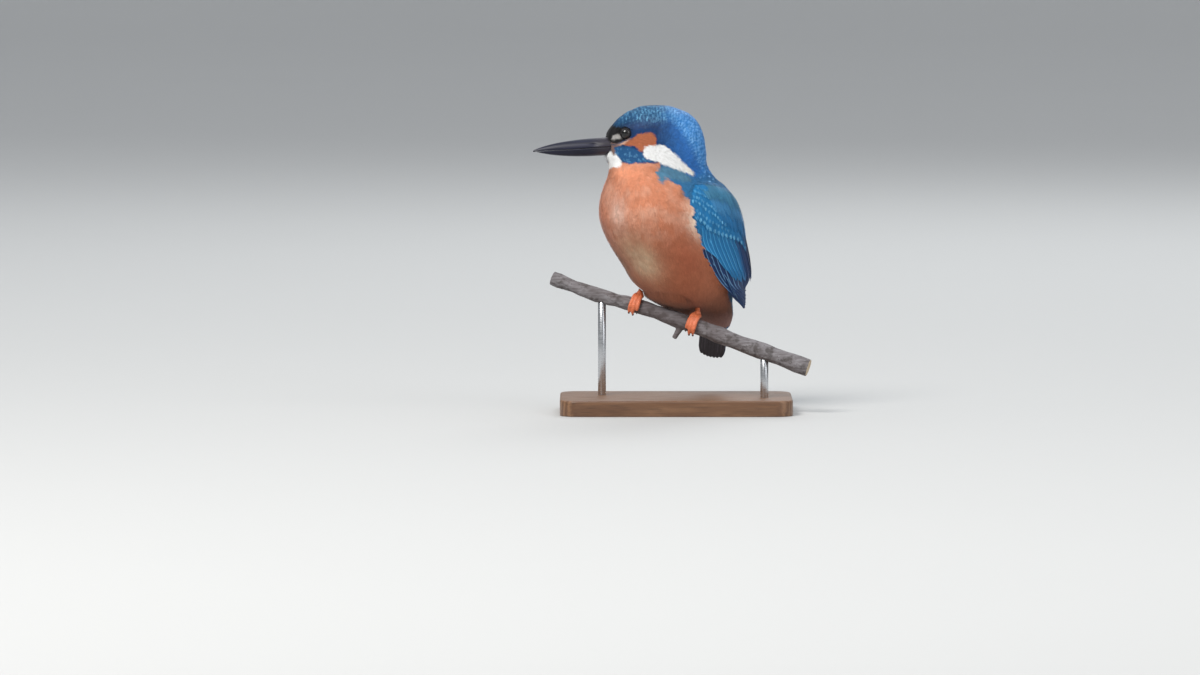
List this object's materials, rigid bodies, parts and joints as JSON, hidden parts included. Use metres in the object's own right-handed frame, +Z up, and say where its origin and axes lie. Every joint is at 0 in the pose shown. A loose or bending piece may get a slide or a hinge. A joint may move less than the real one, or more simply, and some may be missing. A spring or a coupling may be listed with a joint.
{
  "type": "common kingfisher model",
  "caption": "Still life-size common kingfisher, an adult male fluffed up on a short cut branch, head in profile and breast half turned, held over a flat base by two short rods.",
  "frame": {"origin": "middle of the underside of the stand's base", "axes": "+Z up, -Y towards the front of the stand, from where the bird's left side and breast are seen, and -X the way the bill points"},
  "size_m": [0.1389, 0.0757, 0.1542],
  "materials": {
    "head_plumage": "deep blue feathers with paler blue spots, a rufous ear patch, a white neck patch and a white chin",
    "neck_plumage": "blue feathers behind, orange in front",
    "breast_plumage": "soft orange feathers, paler on the belly, with an azure back",
    "wing_plumage": "teal blue feathers with pale blue spots and dark flight feathers",
    "tail_plumage": "dark blue feathers, slaty below",
    "bill_horn": "satin blackish horn",
    "eye_gloss": "wet dark brown",
    "foot_skin": "scaled orange-red skin",
    "claw_horn": "satin dark horn",
    "perch_bark": "rough weathered grey-brown bark with pale cut ends",
    "stand_steel": "brushed",
    "stand_wood": "oiled dark wood"
  },
  "bodies": {
    "root": {"head": "head_plumage", "neck": "neck_plumage", "trunk": "breast_plumage", "wing_left": "wing_plumage", "wing_right": "wing_plumage", "tail": "tail_plumage", "bill_upper": "bill_horn", "bill_lower": "bill_horn", "eye_left": "eye_gloss", "eye_right": "eye_gloss", "leg_left": "foot_skin", "leg_right": "foot_skin", "foot_left": "foot_skin", "foot_right": "foot_skin", "claw_left_1": "claw_horn", "claw_left_2": "claw_horn", "claw_left_3": "claw_horn", "claw_left_4": "claw_horn", "claw_right_1": "claw_horn", "claw_right_2": "claw_horn", "claw_right_3": "claw_horn", "claw_right_4": "claw_horn", "perch": "perch_bark", "stand_rod_left": "stand_steel", "stand_rod_right": "stand_steel", "stand_base": "stand_wood"}
  },
  "joints": []
}
